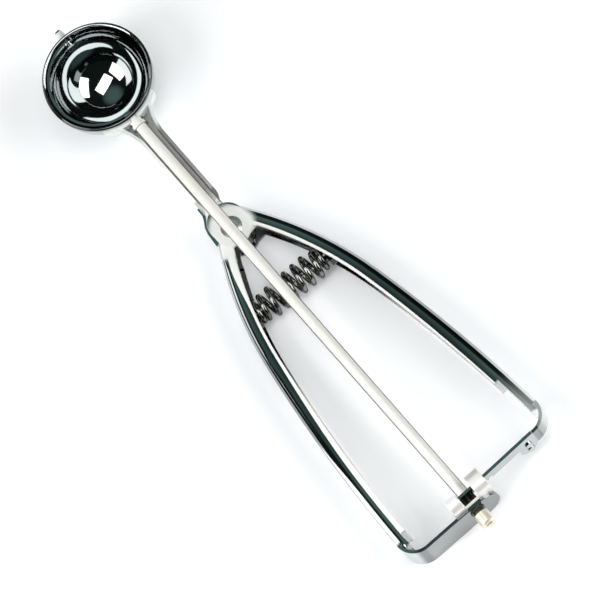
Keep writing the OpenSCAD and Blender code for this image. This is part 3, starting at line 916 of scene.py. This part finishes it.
# %% world
# Colours of light, the patch's direction and the angles it fades between, and the heights of
# direction that count as low over the table.
ROOM_BELOW = (0.006, 0.010, 0.009, 1)
ROOM_ABOVE = (0.010, 0.016, 0.014, 1)
PATCH_TOWARD = (-0.394, 0, 0.919)
PATCH_COLOUR = (0.10, 0.165, 0.155, 1)
PATCH_FADE = (math.cos(math.radians(26)), math.cos(math.radians(8)))
WHITE = (1, 1, 1, 1)
LOW_BAND = (0.0, 0.06)


def room_colour(tree, direction, up):
    """Nearly black, a little lighter upwards, with the grey-green patch."""
    room = plug(tree, "ShaderNodeValToRGB", {"Fac": up})
    for stop, colour in zip(room.color_ramp.elements, (ROOM_BELOW, ROOM_ABOVE)):
        stop.color = colour
    toward = vector_math(tree, "DOT_PRODUCT", direction, PATCH_TOWARD)
    return mixed(tree, ramp(tree, toward, PATCH_FADE), room.outputs["Color"], PATCH_COLOUR)


def make_world():
    world = bpy.data.worlds.new("studio")
    world.use_nodes = True
    bpy.context.scene.world = world
    tree = world.node_tree
    tree.nodes.clear()
    direction = add(tree, "ShaderNodeTexCoord").outputs["Generated"]
    up = axes(tree, direction)["Z"]
    path = add(tree, "ShaderNodeLightPath").outputs
    mirror = highest(tree, path["Is Glossy Ray"], path["Is Transmission Ray"])
    mirror = product(tree, mirror, ramp(tree, up, LOW_BAND, FALL))
    white = highest(tree, mirror, path["Is Camera Ray"])
    seen = mixed(tree, white, room_colour(tree, direction, up), WHITE)
    painted = plug(tree, "ShaderNodeBackground", {"Color": seen})
    feed(tree, painted.outputs[0], add(tree, "ShaderNodeOutputWorld").inputs["Surface"])


make_world()
print("world", bpy.context.scene.world.name)

# %% [markdown]
# ## Lamps
# Soft boxes are the usual lamps for polished metal, because their edges draw its shape, and a
# spot would only leave a dot on it. Four of them stand round the table. Their width and height
# are angles, as the tool sees them, because those decide what the bowl and the handles show.
# The energy grows with the area, so that a wider box isn't a dimmer one.

# %% lamps
BOX_GLOW = 4.0
BOX_AWAY = 1.3


def soft_box(name, toward, wide, tall, along=None, glow=BOX_GLOW):
    """A rectangular lamp that faces the tool, with its long side level or along a line."""
    direction = Vector(toward).normalized()
    across = Vector(along) if along else Vector((0, 0, 1)).cross(direction)
    across = (across - across.dot(direction) * direction).normalized()
    data = bpy.data.lights.new(name, "AREA")
    data.shape = "RECTANGLE"
    data.size = 2 * BOX_AWAY * math.tan(math.radians(wide / 2))
    data.size_y = 2 * BOX_AWAY * math.tan(math.radians(tall / 2))
    data.energy = glow * math.pi * data.size * data.size_y
    lamp = bpy.data.objects.new(name, data)
    bpy.context.scene.collection.objects.link(lamp)
    turn = Matrix((across, direction.cross(across), direction)).transposed().to_4x4()
    lamp.matrix_world = Matrix.Translation(direction * BOX_AWAY) @ turn
    lamp.visible_camera = False
    return lamp


soft_box("box_over", (0.096, -0.02, 0.995), wide=42, tall=22, along=(0.319, -0.939, -0.137))
soft_box("box_right", (0.443, 0.705, 0.552), wide=44, tall=40)
soft_box("box_left", (0.057, -0.823, 0.565), wide=34, tall=52)
soft_box("box_behind", (-0.64, -0.62, 0.45), wide=24, tall=20, glow=1.4)
print("lamps", len(bpy.data.lights))

# %% [markdown]
# ## Camera
# The tool is shown almost flat, as in a catalogue: seen from high over the handle end, with
# hardly any perspective. An orthographic camera has none at all, but a long lens far away looks
# more natural. The camera is rolled, so that the tool lies across the picture's diagonal.

# %% camera
# Angles, metres, and the lens and sensor in millimetres.
LIFT = math.radians(66.8)
ROLL = math.radians(41.3)
DISTANCE = 8.0
LENS = 1558.1
SENSOR = 36
SIGHT = 50
TARGET = place(96.3, 1.6, 8)


def make_camera():
    back = Vector((math.cos(LIFT), 0, math.sin(LIFT)))
    level = Vector((0, 1, 0))
    upright = back.cross(level)
    right = level * math.cos(ROLL) - upright * math.sin(ROLL)
    up = upright * math.cos(ROLL) + level * math.sin(ROLL)
    data = bpy.data.cameras.new("camera")
    data.lens = LENS
    data.sensor_width = SENSOR
    data.clip_end = SIGHT
    camera = bpy.data.objects.new("camera", data)
    bpy.context.scene.collection.objects.link(camera)
    turn = Matrix((right, up, back)).transposed().to_4x4()
    camera.matrix_world = Matrix.Translation(TARGET + back * DISTANCE) @ turn
    return camera


scene = bpy.context.scene
scene.camera = make_camera()
scene.view_settings.view_transform = "Standard"
print("camera", [round(v, 3) for v in scene.camera.location])
